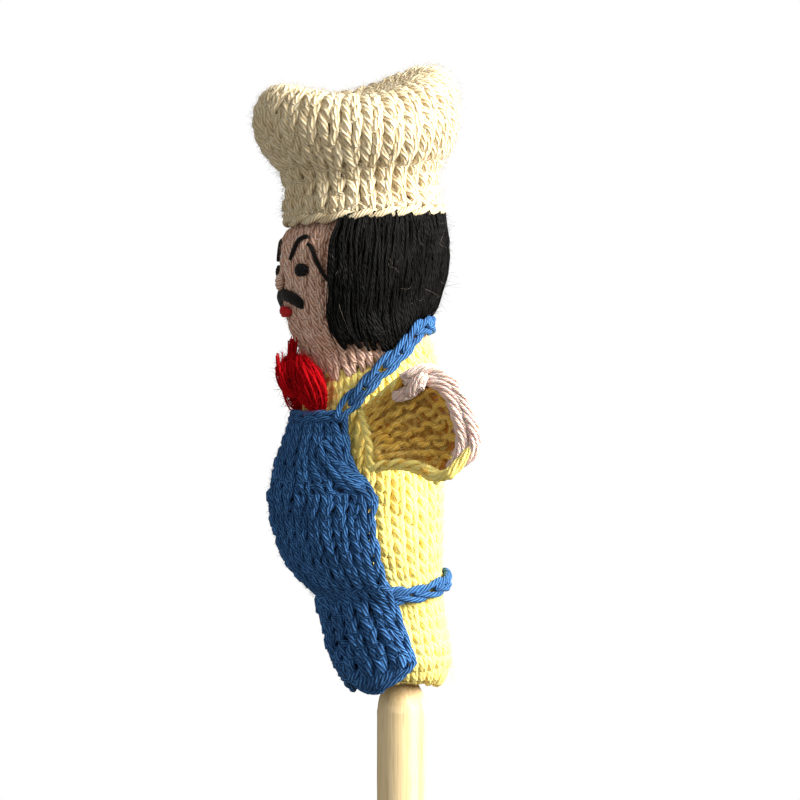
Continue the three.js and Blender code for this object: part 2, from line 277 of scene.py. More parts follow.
# ---- Strands ----
class Strands:
    """Collects round strands of yarn or fibre, and makes one mesh of them."""

    def __init__(self, sides=8):
        self.sides, self.count = sides, 0
        self.points, self.quads, self.quad_uv, self.caps = [], [], [], []

    def add(self, path, normal, radius, closed=False, start=0.0):
        """path and normal are (strands, steps, 3); radius is one number or one for each point."""
        n, m, _ = path.shape
        k = self.sides
        if closed:
            tangent = unit(np.roll(path, -1, 1) - np.roll(path, 1, 1))
        else:
            tangent = unit(np.gradient(path, axis=1))
        side = unit(np.cross(tangent, normal))
        up = np.cross(side, tangent)
        steps = np.linalg.norm(np.diff(path, axis=1), axis=-1)
        run = start + np.concatenate([np.zeros((n, 1)), np.cumsum(steps, 1)], 1)
        angle = np.arange(k) * TURN / k
        size = np.broadcast_to(np.asarray(radius, float), (n, m))[..., None, None]
        ring = size * (
            np.cos(angle)[:, None] * side[:, :, None, :] + np.sin(angle)[:, None] * up[:, :, None, :]
        )
        self.points.append((path[:, :, None, :] + ring).reshape(-1, 3))
        rows = m if closed else m - 1
        i = np.arange(n)[:, None, None] * m * k + self.count
        row, col = np.arange(rows)[None, :, None], np.arange(k)[None, None, :]
        after, beside = (row + 1) % m, (col + 1) % k
        corner = [i + row * k + col, i + after * k + col, i + after * k + beside, i + row * k + beside]
        self.quads.append(np.stack(np.broadcast_arrays(*corner), -1).reshape(-1, 4))
        u0 = run[:, :rows]
        if closed:
            gap = np.linalg.norm(path[:, 0] - path[:, -1], axis=-1)[:, None]
            u1 = np.concatenate([run[:, 1:], run[:, -1:] + gap], 1)
        else:
            u1 = run[:, 1:]
        u0, u1 = (np.broadcast_to(u[..., None], (n, rows, k)) for u in (u0, u1))
        v0 = np.broadcast_to(np.arange(k) / k, (n, rows, k))
        v1 = v0 + 1 / k
        uv = np.stack([np.stack(x, -1) for x in ((u0, v0), (u1, v0), (u1, v1), (u0, v1))], -2)
        self.quad_uv.append(uv.reshape(-1, 4, 2))
        if not closed:
            first = np.arange(n)[:, None] * m * k + self.count + np.arange(k)
            self.caps.append(first)
            self.caps.append((first + (m - 1) * k)[:, ::-1])
        self.count += n * m * k
        return self

    def make(self, name, material):
        """One object of all the strands, with each strand's length and girth as its UV."""
        points = np.concatenate(self.points) * MM
        quads = np.concatenate(self.quads)
        uv = np.concatenate(self.quad_uv).reshape(-1, 2)
        caps = np.concatenate(self.caps) if self.caps else np.zeros((0, self.sides), int)
        mesh = bpy.data.meshes.new(name)
        mesh.vertices.add(len(points))
        mesh.vertices.foreach_set("co", points.astype(np.float32).ravel())
        loops = np.concatenate([quads.ravel(), caps.ravel()]).astype(np.int32)
        mesh.loops.add(len(loops))
        mesh.loops.foreach_set("vertex_index", loops)
        starts = np.concatenate([
            np.arange(len(quads)) * 4, len(quads) * 4 + np.arange(len(caps)) * self.sides
        ])
        mesh.polygons.add(len(starts))
        mesh.polygons.foreach_set("loop_start", starts.astype(np.int32))
        mesh.polygons.foreach_set("use_smooth", np.ones(len(starts), bool))
        layer = mesh.uv_layers.new(name="yarn")
        flat = np.zeros((len(loops), 2), np.float32)
        flat[: len(uv)] = uv
        layer.data.foreach_set("uv", flat.ravel())
        mesh.update(calc_edges=True)
        mesh.materials.append(material)
        return shown(name, mesh)


def smooth_noise(shape, cells, amount, seed):
    """Soft random values on a grid, about one change for each cell."""
    source = np.random.RandomState(seed).uniform(-1, 1, (cells[0] + 1, cells[1] + 1))
    x = np.linspace(0, cells[0] - 1e-6, shape[0])
    y = np.linspace(0, cells[1] - 1e-6, shape[1])
    i, j = x.astype(int), y.astype(int)
    u, v = (x - i)[:, None], (y - j)[None, :]
    u, v = u * u * (3 - 2 * u), v * v * (3 - 2 * v)
    low = source[i][:, j] * (1 - v) + source[i][:, j + 1] * v
    high = source[i + 1][:, j] * (1 - v) + source[i + 1][:, j + 1] * v
    return amount * (low * (1 - u) + high * u)


# One stitch of stocking stitch, as shares of its width and of a row's height.
SWAY = 0.25
REACH = 1.02

# How finely yarn is drawn.
FIBRE_STEPS = 5
CORD_STEPS_PER_MM = 3.0
ROLL_STEPS = 200
LINK_STEPS = 22


def knit(strands, surface, stitches, rows, radius, out=-0.6, sink=0.26, rib=0.12, purl=False, samples=14,
         a_from=0.0, a_to=1.0, f_from=0.0, f_to=1.0, seed=1, sway=SWAY, reach=REACH, loose=1.0, crease=None):
    """Lays rows of stocking stitch on a surface, each row one yarn that runs to and fro through its loops.

    sink is how far the yarn passes in and out between loops, and rib how far each stitch tips inwards at its
    foot, both in millimetres. loose is how uneven the hand was. crease is a level, a depth in millimetres and
    a height: a dip that runs along the rows, its level and height as shares of the surface.
    """
    closed = surface.wraps and a_to - a_from == 1
    count = stitches * samples + (0 if closed else 1)
    t = np.arange(count) / samples
    which = np.minimum(t.astype(int), stitches - 1)
    after = (which + 1) % stitches if closed else which + 1
    ease = (1 - np.cos(np.pi * (t - which))) / 2
    rand = np.random.RandomState(seed)
    way = -1 if purl else 1
    for row in range(rows):
        wide, tall, deep = (
            loose * (v[which] * (1 - ease) + v[after] * ease) for v in rand.uniform(-1, 1, (3, stitches + 1))
        )
        side = sway * (1 + 0.2 * wide) * np.sin(2 * TURN * t)
        a = (t + side + 0.05 * deep) / stitches
        f = (row + 0.5 - reach * (1 + 0.08 * tall) * np.cos(TURN * t) + 0.08 * wide) / rows
        depth = -way * sink * np.cos(2 * TURN * t) - rib * np.cos(TURN * (t + side)) + 0.09 * tall
        share = np.clip(f_from + f * (f_to - f_from), -0.03, 1.03)
        if crease:
            level, drop, width = crease
            depth = depth - drop * np.exp(-(((share - level) / width) ** 2))
        path, normal = surface.at(a_from + a * (a_to - a_from), share, out + depth)
        size = radius * (1 + 0.07 * deep - way * 0.07 * np.cos(2 * TURN * t))
        strands.add(path[None], normal[None], size[None], closed=closed, start=float(rand.uniform(0, 9)))


def fuzz(name, surface, count, material, length, out=0.2, a_from=0.0, a_to=1.0, f_to=1.0, radius=0.02,
         seed=5):
    """Loose fibres that stand off a surface, thin and curled."""
    rand = np.random.RandomState(seed)
    a = rand.uniform(a_from, a_to, count)
    f = rand.uniform(0.0, f_to, count)
    start, normal = surface.at(a, f, out)
    return fibres(name, start, normal, count, material, length, radius, rand)


def fibres(name, start, normal, count, material, length, radius, rand, lean=0.9):
    """Thin curled fibres, each from its own start point; lean is how far they stray from the normal."""
    way = unit(rand.normal(size=(count, 3)) * lean + normal * 0.75)
    bend = rand.normal(size=(count, 3)) * 0.9
    long = length * rand.uniform(0.35, 1.3, count)
    s = np.linspace(0, 1, FIBRE_STEPS)[None, :, None]
    path = start[:, None, :] + long[:, None, None] * (way[:, None, :] * s + bend[:, None, :] * s * s * 0.45)
    thick = radius * (1 - 0.7 * s[..., 0]) * np.ones((count, 1))
    across = np.broadcast_to(np.array([0.31, 0.17, 0.94]), path.shape)
    return Strands(3).add(path, across, thick).make(name, material)


def cord_frame(path, normal):
    """The directions to the side of a line and up from it, at each of its points."""
    tangent = unit(np.gradient(path, axis=0))
    side = unit(np.cross(tangent, normal))
    return side, np.cross(side, tangent)


def read_along(values, run, at):
    """The values of a line, given at the distances run, read at other distances along it."""
    return np.stack([np.interp(at, run, values[:, k]) for k in range(3)], -1)


def resample(path, normal, count):
    """The line in equal steps, with its normals and its length."""
    run = np.concatenate([[0], np.cumsum(np.linalg.norm(np.diff(path, axis=0), axis=1))])
    even = np.linspace(0, run[-1], count)
    return read_along(path, run, even), unit(read_along(normal, run, even)), run[-1]


def twisted(strands, path, normal, radius, spread, lay, count=2):
    """A cord of strands twisted round a path; lay is the length of one turn."""
    length = np.linalg.norm(np.diff(path, axis=0), axis=1).sum()
    path, normal, length = resample(path, normal, int(length * CORD_STEPS_PER_MM) + 2)
    side, up = cord_frame(path, normal)
    phase = TURN * np.linspace(0, length, len(path)) / lay
    for k in range(count):
        angle = (phase + TURN * k / count)[:, None]
        away = np.cos(angle) * side + np.sin(angle) * up
        strands.add((path + spread * away)[None], away[None], radius)


def roll(strands, path, normal, thickness, lay, count, taper=0.0):
    """A thick smooth cord: many long strands side by side round a path, slowly turning."""
    s = np.linspace(-1, 1, ROLL_STEPS)
    path, normal, length = resample(path, normal, ROLL_STEPS)
    side, up = cord_frame(path, normal)
    size = thickness * (1 - taper * s ** 6)[:, None]
    phase = TURN * np.linspace(0, length, ROLL_STEPS) / lay
    for k in range(count):
        angle = (phase + TURN * k / count)[:, None]
        away = np.cos(angle) * side + np.sin(angle) * up
        wander = 1 + 0.1 * np.sin(phase * (2.3 + 0.37 * k) + k * 2.3)[:, None]
        strands.add((path + away * size * 0.72 * wander)[None], away[None], (size[:, 0] * 2.3 / count)[None])


def chain(strands, path, normal, pitch, half_width, radius, seed=3):
    """A crochet chain: each link is a loop drawn through the one before it, so it shows as a row of Vs."""
    fine, normals, length = resample(path, normal, 400)
    links = max(2, int(round(length / pitch)))
    step = length / links
    rand = np.random.RandomState(seed)
    t = np.arange(LINK_STEPS) / LINK_STEPS * TURN
    across = unit(np.cross(normals, unit(np.gradient(fine, axis=0))))
    along = np.linspace(0, length, 400)
    for i in range(links):
        grow = 1 + 0.1 * rand.uniform(-1, 1)
        s = np.clip((i + 0.55) * step - 0.86 * step * grow * np.cos(t), 0, length)
        wide = half_width * grow * np.sin(t) * (0.62 - 0.5 * np.cos(t)) + 0.1 * rand.uniform(-1, 1)
        high = 0.22 * np.cos(t) - 0.24 * np.cos(2 * t)
        n = unit(read_along(normals, along, s))
        sideways = unit(read_along(across, along, s)) * wide[:, None]
        p = read_along(fine, along, s) + sideways + n * high[:, None]
        strands.add(p[None], n[None], radius, closed=True, start=i * 1.7)


def angles_of(line):
    """A line's angles from the front, in degrees round the middle of the figure."""
    centre = np.interp(line[:, 2], HEIGHTS, MIDDLE)
    return np.degrees(np.arctan2(line[:, 0], -(line[:, 1] - centre)))


def spine(node):
    """The middle line of a strip that runs round the figure: its corners gathered by their angle."""
    corners = corners_of(node)
    degrees = angles_of(corners)
    if node in ("neck_strap", "waist_tie"):
        degrees = degrees % 360  # these pass round the back, where the angle jumps
    order = np.argsort(degrees)
    groups = np.split(order, np.flatnonzero(np.diff(degrees[order]) > 0.6) + 1)
    line = np.array([(corners[g].min(0) + corners[g].max(0)) / 2 for g in groups])
    middle = np.stack([np.zeros(len(line)), np.interp(line[:, 2], HEIGHTS, MIDDLE), line[:, 2]], -1)
    return line, unit(line - middle)


# ---- Materials ----
def linear(code):
    """A colour written as six hex digits, as light."""
    channels = [int(code[i:i + 2], 16) / 255 for i in (0, 2, 4)]
    return [c / 12.92 if c <= 0.04045 else ((c + 0.055) / 1.055) ** 2.4 for c in channels]


class Nodes:
    """A material's node tree, built by calls."""

    def __init__(self, name):
        self.material = bpy.data.materials.new(name)
        self.material.use_nodes = True
        self.tree = self.material.node_tree
        self.shader = self.tree.nodes["Principled BSDF"]

    def add(self, kind, settings=None, **inputs):
        node = self.tree.nodes.new(kind)
        for key, value in (settings or {}).items():
            setattr(node, key, value)
        for key, value in inputs.items():
            self.set(node, key.replace("_", " "), value)
        return node

    def set(self, node, key, value):
        socket = node.inputs[int(key)] if key.isdigit() else node.inputs[key]
        if isinstance(value, bpy.types.NodeSocket):
            self.tree.links.new(value, socket)
        else:
            socket.default_value = value

    def sum(self, a, b, operation="ADD"):
        node = self.tree.nodes.new("ShaderNodeMath")
        node.operation = operation
        self.set(node, "0", a)
        self.set(node, "1", b)
        return node.outputs[0]

    def ramp(self, factor, stops):
        node = self.add("ShaderNodeValToRGB", Fac=factor)
        element = node.color_ramp.elements
        while len(element) < len(stops):
            element.new(0.5)
        for e, (place, colour) in zip(element, stops):
            e.position = place
            e.color = (*colour, 1)
        return node.outputs["Color"]


def yarn_material(name, dark, mid, light, rough=0.85, sheen=0.3, plies=6, pitch=1.1, streak=1.0,
                  glow=0.0, bump=0.6, groove_shade_share=0.16, shine=0.25):
    """Spun yarn: plies that lie slantwise round it, painted shade darkening the grooves between them, and
    streaks of fibre.
    """
    dark, mid, light = linear(dark), linear(mid), linear(light)
    n = Nodes(name)
    uv = n.add("ShaderNodeUVMap", {"uv_map": "yarn"}).outputs["UV"]
    xy = n.add("ShaderNodeSeparateXYZ", Vector=uv)
    turned = n.sum(xy.outputs["Y"], n.sum(xy.outputs["X"], 1 / (plies * pitch), "MULTIPLY"), "SUBTRACT")
    groove = n.sum(n.sum(turned, TURN * plies, "MULTIPLY"), 0.0, "COSINE")
    lane = n.add("ShaderNodeCombineXYZ", X=n.sum(xy.outputs["X"], 0.5, "MULTIPLY"),
                 Y=n.sum(turned, 14.0, "MULTIPLY"))
    streaks = n.add("ShaderNodeTexNoise", Vector=lane.outputs[0], Scale=1.5, Detail=4.0,
                    Roughness=0.65).outputs[0]
    where = n.add("ShaderNodeTexCoord").outputs["Object"]
    patch = n.add("ShaderNodeTexNoise", Vector=where, Scale=300.0, Detail=3.0).outputs[0]
    tone = n.sum(n.sum(streaks, 0.62 * streak, "MULTIPLY"), n.sum(patch, 0.34, "MULTIPLY"))
    # Painted shade: the colour darkens in the grooves between the plies.
    tone = n.sum(tone, n.sum(groove, groove_shade_share, "MULTIPLY"))
    n.set(n.shader, "Base Color", n.ramp(tone, [(0.16, dark), (0.46, mid), (0.74, light)]))
    height = n.sum(n.sum(groove, 0.55, "MULTIPLY"), n.sum(streaks, 1.0, "MULTIPLY"))
    relief = n.add("ShaderNodeBump", Strength=bump, Distance=0.0003, Height=height)
    n.set(n.shader, "Normal", relief.outputs[0])
    n.set(n.shader, "Roughness", n.sum(n.sum(streaks, 0.18, "MULTIPLY"), rough - 0.09))
    n.shader.inputs["Sheen Weight"].default_value = sheen
    n.shader.inputs["Sheen Roughness"].default_value = 0.5
    n.shader.inputs["Sheen Tint"].default_value = (*light, 1)
    n.shader.inputs["Specular IOR Level"].default_value = shine
    if glow:
        n.shader.inputs["Subsurface Weight"].default_value = glow
        n.shader.inputs["Subsurface Radius"].default_value = (1.0, 0.65, 0.35)
        n.shader.inputs["Subsurface Scale"].default_value = 0.0008
    return n.material


def cloth_material(name, code):
    """The dim inside of the knitting, seen only through its gaps. Under the stitches it takes a colour darker
    than the yarn's: painted shade in the gaps between them.
    """
    colour = linear(code)
    n = Nodes(name)
    where = n.add("ShaderNodeTexCoord").outputs["Object"]
    noise = n.add("ShaderNodeTexNoise", Vector=where, Scale=1400.0, Detail=3.0).outputs[0]
    dim = [c * 0.55 for c in colour]
    n.set(n.shader, "Base Color", n.ramp(noise, [(0.3, dim), (0.7, colour)]))
    n.set(n.shader, "Roughness", n.sum(n.sum(noise, 0.1, "MULTIPLY"), 0.88))
    relief = n.add("ShaderNodeBump", Strength=0.5, Distance=0.0002, Height=noise)
    n.set(n.shader, "Normal", relief.outputs[0])
    return n.material


def wood_material():
    n = Nodes("birch")
    where = n.add("ShaderNodeTexCoord").outputs["Object"]
    long = n.add("ShaderNodeMapping", Vector=where, Scale=(420.0, 420.0, 16.0)).outputs[0]
    grain = n.add("ShaderNodeTexNoise", Vector=long, Scale=1.0, Detail=6.0, Roughness=0.62,
                  Distortion=0.6).outputs[0]
    wide = n.add("ShaderNodeMapping", Vector=where, Scale=(110.0, 110.0, 5.0)).outputs[0]
    band = n.add("ShaderNodeTexNoise", Vector=wide, Scale=1.0, Detail=2.0).outputs[0]
    short = n.add("ShaderNodeMapping", Vector=where, Scale=(2600.0, 2600.0, 130.0)).outputs[0]
    pores = n.add("ShaderNodeTexNoise", Vector=short, Scale=1.0, Detail=1.0).outputs[0]
    tone = n.sum(n.sum(grain, 0.6, "MULTIPLY"), n.sum(band, 0.4, "MULTIPLY"))
    colour = n.ramp(tone, [(0.3, linear("b7955f")), (0.48, linear("dcc08c")), (0.7, linear("eddcb4"))])
    flecks = n.ramp(pores, [(0.28, (0.55, 0.45, 0.34)), (0.4, (1.0, 1.0, 1.0))])
    mix = n.add("ShaderNodeMix", {"data_type": "RGBA", "blend_type": "MULTIPLY"})
    mix.inputs["Factor"].default_value = 0.5
    n.tree.links.new(colour, mix.inputs[6])
    n.tree.links.new(flecks, mix.inputs[7])
    n.set(n.shader, "Base Color", mix.outputs[2])
    n.set(n.shader, "Roughness", n.sum(n.sum(grain, 0.25, "MULTIPLY"), 0.45))
    height = n.sum(grain, n.sum(pores, 0.6, "MULTIPLY"))
    relief = n.add("ShaderNodeBump", Strength=0.3, Distance=0.0002, Height=height)
    n.set(n.shader, "Normal", relief.outputs[0])
    return n.material


CREAM = yarn_material("cream_yarn", "99794a", "ddc99f", "f7edd4",
                      glow=0.15, pitch=1.2)
YELLOW = yarn_material("yellow_yarn", "f0cc66", "f8e488", "fdf2b2",
                       glow=0.3, bump=0.3, groove_shade_share=0.1, streak=0.7, shine=0.12)
# A darker, more orange copy of the yellow yarn, for the arm's cupped inside: painted shade.
SHADED_YELLOW = yarn_material("painted_shade_yellow_yarn", "b06e0e", "dcb044", "f6e29c",
                              glow=0.1, bump=0.3, streak=0.9, groove_shade_share=0.1)
# The face's skin yarn and the hand's are one pink yarn in two copies: the face's darker, as painted shade,
# and the hand's lighter, as painted light.
SKIN = yarn_material("skin_yarn", "5e331f", "d2a184", "fdeadf", glow=0.15, bump=0.5)
PAINTED_LIGHT_SKIN = yarn_material("skin_yarn_painted_light", "c98a78", "f8d4c6", "fff2ea",
                          glow=0.4, bump=0.6)
BLUE = yarn_material("blue_yarn", "0a1828", "1c4576", "5593d4",
                     glow=0.05, pitch=1.0)
RED = yarn_material("red_yarn", "6a0007", "b8000d", "dc121e",
                    sheen=0.15, streak=1.1, shine=0.1, bump=0.4)
BLACK = yarn_material("black_yarn", "000000", "040404", "151413",
                      rough=0.7, sheen=0.015, streak=1.1, shine=0.1)
THREAD = yarn_material("black_thread", "030303", "080707", "161414",
                       rough=0.5, sheen=0.03, pitch=0.8)
MOUTH_RED = yarn_material("red_thread", "8c0a10", "cf1a22", "ec4a48", sheen=0.1)
BROWN = yarn_material("brown_fibre", "3a2c20", "6b5a4a", "a39a90")
WOOD = wood_material()


def place(piece, body, slot, *nodes):
    """Fixes a piece to a body, in place of the CAD nodes that it stands for; slot is not used."""
    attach(piece, body)
    if nodes:
        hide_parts(*nodes)
    return piece


# ---- Cloth under the stitches ----
def sheet_mesh(name, surface, out, material, columns, rows, a_from=0.0, a_to=1.0, f_from=0.0, f_to=1.0,
               thickness=0.3):
    """A thin closed sheet that follows a surface."""
    wraps = surface.wraps and a_to - a_from == 1
    a = np.linspace(a_from, a_to, columns, endpoint=not wraps)[:, None]
    f = np.linspace(f_from, f_to, rows)[None, :]
    faces = []
    layers = []
    for depth in (out, out - thickness):
        p, _ = surface.at(a, f, depth)
        layers.append(p.reshape(-1, 3))
    size = columns * rows
    across = columns if wraps else columns - 1
    for i in range(across):
        k = (i + 1) % columns
        for j in range(rows - 1):
            q = [i * rows + j, k * rows + j, k * rows + j + 1, i * rows + j + 1]
            faces.append(q)
            faces.append([size + x for x in reversed(q)])
        for j in (0, rows - 1):
            rim = [i * rows + j, size + i * rows + j, size + k * rows + j, k * rows + j]
            faces.append(rim if j == 0 else rim[::-1])
    if not wraps:
        for i in (0, columns - 1):
            for j in range(rows - 1):
                rim = [i * rows + j, i * rows + j + 1, size + i * rows + j + 1, size + i * rows + j]
                faces.append(rim if i == 0 else rim[::-1])
    mesh = bpy.data.meshes.new(name)
    mesh.from_pydata((np.concatenate(layers) * MM).tolist(), [], faces)
    mesh.materials.append(material)
    mesh.update()
    for p in mesh.polygons:
        p.use_smooth = True
    return shown(name, mesh)


# ---- Body ----
def make_body():
    # The sheet under the body's stitches is a darker yellow than the yarn: painted shade in the gaps between
    # them.
    lining = sheet_mesh("body_lining", body_surface, -1.0, cloth_material("yellow_painted_shade_lining", "dcb350"),
                        90, 60)
    place(lining, "puppet", "yellow_knit")
    yarn = Strands()
    knit(yarn, body_surface, 30, 25, 0.54, rib=0.34, f_from=0.012, reach=0.94, loose=1.3,
         crease=(0.0, 1.1, 0.04), seed=21)
    piece = yarn.make("body_knit", YELLOW)
    place(piece, "puppet", "yellow_knit", "body")
    loose = fuzz("body_fuzz", body_surface, 4500, YELLOW, 0.5, seed=22)
    place(loose, "puppet", "yellow_knit")


def make_head():
    # The sheet under the head's stitches is darker and browner than the yarn: painted shade in the gaps
    # between them.
    lining = sheet_mesh("head_lining", head_surface, -1.0, cloth_material("skin_painted_shade_lining", "9d7565"),
                        80, 30)
    place(lining, "puppet", "skin_knit")
    yarn = Strands()
    knit(yarn, head_surface, 23, 13, 0.56, out=-0.7, rib=0.5, sink=0.22, sway=0.2, loose=1.4, seed=31)
    piece = yarn.make("head_knit", SKIN)
    place(piece, "puppet", "skin_knit", "head")
    loose = fuzz("head_fuzz", head_surface, 2500, SKIN, 0.45, a_from=-0.2, a_to=0.2, seed=32)
    place(loose, "puppet", "skin_knit")


def make_hat():
    # The sheet under the hat's stitches is a brown darker than the yarn: painted shade in the hollows between
    # them.
    lining = sheet_mesh("hat_lining", hat_surface, -1.1, cloth_material("cream_painted_shade_lining", "a58b62"),
                        80, 70, f_to=0.985)
    place(lining, "puppet", "cream_knit")
    yarn = Strands(9)
    knit(yarn, hat_surface, 28, 4, 0.6, f_from=0.03, f_to=0.26, out=-1.0, rib=0.62, loose=2.2, seed=40)
    knit(yarn, hat_surface, 28, 7, 0.66, f_from=0.27, f_to=0.69, out=-0.7, rib=0.26, loose=1.8, seed=41)
    knit(yarn, hat_surface, 14, 3, 0.66, f_from=0.69, f_to=0.87, out=-0.7, samples=16, seed=42)
    knit(yarn, hat_surface, 7, 2, 0.62, f_from=0.87, f_to=0.98, out=-0.7, samples=20, seed=43)
    brim, normal = hat_surface.at(np.linspace(0, 1, 240), 0.02, 0.1)
    twisted(yarn, brim, normal, 0.55, 0.42, 7.5)
    piece = yarn.make("hat_knit", CREAM)
    place(piece, "puppet", "cream_knit", "hat")
    loose = fuzz("hat_fuzz", hat_surface, 7400, CREAM, 0.7, f_to=0.95, seed=44)
    place(loose, "puppet", "cream_knit")


# For each layer of hair: strands, distance out, radius, and slant as a share of the way round.
HAIR_LAYERS = ((92, -0.3, 0.46, 0.014), (110, 0.05, 0.24, 0.035), (300, 0.2, 0.09, 0.045))


def make_hair():
    """Three layers of brushed strands from the hat's brim down: thick, thin and stray."""
    lining = sheet_mesh("hair_base", hair_surface, -0.6, BLACK, 70, 20, thickness=0.5)
    place(lining, "puppet", "black_yarn", "hair")
    rand = np.random.RandomState(51)
    yarn = Strands(7)
    steps = 18
    for layer, (count, out, size, slope) in enumerate(HAIR_LAYERS):
        a0 = np.linspace(0.0, 1.0, count)[:, None] + rand.uniform(-1, 1, (count, 1)) * 0.006
        top = np.full((count, 1), 1.03) if layer < 2 else rand.uniform(0.45, 1.03, (count, 1))
        foot = rand.uniform(-0.07, 0.03, (count, 1)) if layer < 2 else rand.uniform(-0.04, 0.5, (count, 1))
        f = top + (foot - top) * np.linspace(0, 1, steps)[None, :]
        slant = rand.uniform(-1, 1, (count, 1)) * slope + 0.014
        wave = smooth_noise((count, steps), (count // 2, 5), 0.009, 52 + layer)
        a = np.clip(a0 + slant * (0.5 - f) + wave, -0.004, 1.004)
        a = a + (a - 0.5) * 0.03 * np.clip(1 - f, 0, 1) ** 2
        bulge = out + smooth_noise((count, steps), (count // 2, 6), 0.24, 62 + layer)
        tuck = np.clip((0.1 - f) / 0.17, 0, 1) ** 2 * 1.2
        path, normal = hair_surface.at(a, f, bulge - tuck)
        thick = size * (1 + smooth_noise((count, steps), (count // 2, 7), 0.25, 72 + layer))
        yarn.add(path, normal, thick)
    piece = yarn.make("hair_strands", BLACK)
    place(piece, "puppet", "black_yarn")
    loose = fuzz("hair_stray", hair_surface, 3200, BLACK, 0.8, out=0.1, radius=0.022, seed=55)
    place(loose, "puppet", "black_yarn")
    pale = fuzz("hair_stray_pale", hair_surface, 70, BROWN, 3.0, out=0.35, radius=0.022, seed=56)
    place(pale, "puppet", "black_yarn")


# ---- Face ----
def on_face(degrees, z, out=0.0):
    """Points on the head in front, by angle from the middle of the face and height."""
    degrees, z, out = np.broadcast_arrays(np.asarray(degrees, float), z, out)
    points, normals = [], []
    for d, level, away in zip(degrees.ravel(), z.ravel(), out.ravel()):
        p = ring_point(FIGURE, d, level)
        n = Vector((p.x, p.y - float(np.interp(level, HEIGHTS, MIDDLE)), 0)).normalized()
        points.append(p + n * away)
        normals.append(n)
    shape = (*degrees.shape, 3)
    return np.array(points).reshape(shape), np.array(normals).reshape(shape)


def centre_of(node):
    """A face piece's place: its angle from the front in degrees, its level and half its height."""
    middle, half = box_of(node)
    return angles_of(middle[None])[0], middle[2], half[2]


def satin(name, material, degrees, z, half_angle, half_height, count, radius, seed):
    """A pad of stitches side by side, as in satin stitch."""
    rand = np.random.RandomState(seed)
    yarn = Strands()
    steps = 18
    s = np.linspace(-1, 1, steps)
    for k in range(count):
        share = (k + 0.5) / count * 2 - 1
        reach = math.sqrt(max(1 - share * share, 0.05))
        angle = degrees + half_angle * reach * s * (1 + 0.06 * rand.uniform(-1, 1))
        height = z + half_height * share + 0.05 * rand.uniform(-1, 1)
        out = 0.15 + 0.75 * np.sqrt(np.clip(1 - s * s, 0, 1)) * (0.55 + 0.45 * reach)
        path, normal = on_face(angle, height, out)
        yarn.add(path[None], normal[None], radius * (1 - 0.45 * s[None] ** 4))
    return yarn.make(name, material)


def brow_strokes(node):
    """An eyebrow's two stitches, as angles and heights: one from the nose side up, one down to the temple."""
    line, _ = spine(node)
    angle = angles_of(line)
    order = np.argsort(np.abs(angle))
    angle, level = angle[order], line[order, 2]
    top = int(np.argmax(level))
    bend = 0.45 * np.sin(np.pi * np.linspace(0, 1, 16))
    lengths = (np.linspace(angle[0], angle[top], 16), np.linspace(angle[top], angle[-1], 16))
    inner, outer = ((way, np.interp(np.abs(way), np.abs(angle), level)) for way in lengths)
    drop = 1.5 * np.linspace(1, 0, 16) ** 1.5
    inner = (inner[0], inner[1] + bend - 0.35 * np.linspace(0, 1, 16))
    outer = (outer[0], outer[1] - drop - bend)
    return inner, outer


def make_face():
    """Embroidered eyes, eyebrows, nose, moustache and mouth, each on its own CAD piece's place."""
    for side in ("left", "right"):
        degrees, z, half_height = centre_of(side + "_eye")
        eye = satin(side + "_eye_stitches", THREAD, degrees, z - 0.2, 5.4, half_height * 0.88, 5, 0.35,
                    seed=70 + len(side))
        place(eye, "puppet", "black_thread", side + "_eye")
        yarn = Strands()
        for way, level in brow_strokes(side + "_eyebrow"):
            path, normal = on_face(way, level, 0.42)
            yarn.add(path[None], normal[None], 0.36 * (1 - 0.25 * np.linspace(-1, 1, len(way)) ** 4)[None])
        brow = yarn.make(side + "_eyebrow_stitches", THREAD)
        place(brow, "puppet", "black_thread", side + "_eyebrow")
    make_nose()
    make_moustache()
    _, z, half_height = centre_of("mouth")
    mouth = satin("mouth_stitches", MOUTH_RED, 0, z, 11.5, half_height * 0.85, 4, 0.34, seed=75)
    place(mouth, "puppet", "red_thread", "mouth")


def bobble(strands, middle, half, radius, turns):
    """A little knob of yarn, wound from its foot to its top."""
    t = np.linspace(0, 1, int(22 * turns))
    lift = np.pi * (t - 0.5)
    spin = TURN * turns * t
    way = np.stack([np.cos(lift) * np.cos(spin), np.cos(lift) * np.sin(spin), np.sin(lift)], -1)
    strands.add((middle + way * half)[None], way[None], radius)


def make_nose():
    middle, half = box_of("nose")
    yarn = Strands()
    bobble(yarn, middle + np.array([0, 0.25, 0]), half * np.array([0.65, 0.6, 0.7]), 0.4, 4.5)
    place(yarn.make("nose_bobble", SKIN), "puppet", "skin_knit", "nose")


def make_moustache():
    line, _ = spine("moustache")
    angle = angles_of(line)
    yarn = Strands()
    rand = np.random.RandomState(76)
    reach = np.abs(angle).max() * 0.95
    s = np.linspace(0.03, 1, 22)
    parting, waist = np.exp(-((s / 0.2) ** 2)), np.exp(-(((s - 0.42) / 0.1) ** 2))
    plump = np.sqrt(1 - 0.8 * s ** 10) * (1 - 0.3 * parting - 0.16 * waist)
    for side in (-1, 1):
        degrees = side * reach * s
        level = np.interp(degrees, angle, line[:, 2]) - 0.1
        for k in range(5):
            share = k / 2 - 1
            height = level + share * 0.7 * plump + 0.03 * rand.uniform(-1, 1)
            out = 0.2 + 0.35 * plump * (1 - 0.4 * share * share)
            path, normal = on_face(degrees, height, out)
            yarn.add(path[None], normal[None], 0.4 * (0.4 + 0.6 * plump)[None])
    place(yarn.make("moustache_stitches", THREAD), "puppet", "black_thread", "moustache")


# ---- Bow tie ----
LOOP_FIBRES = 3600  # loose fibres on each loop


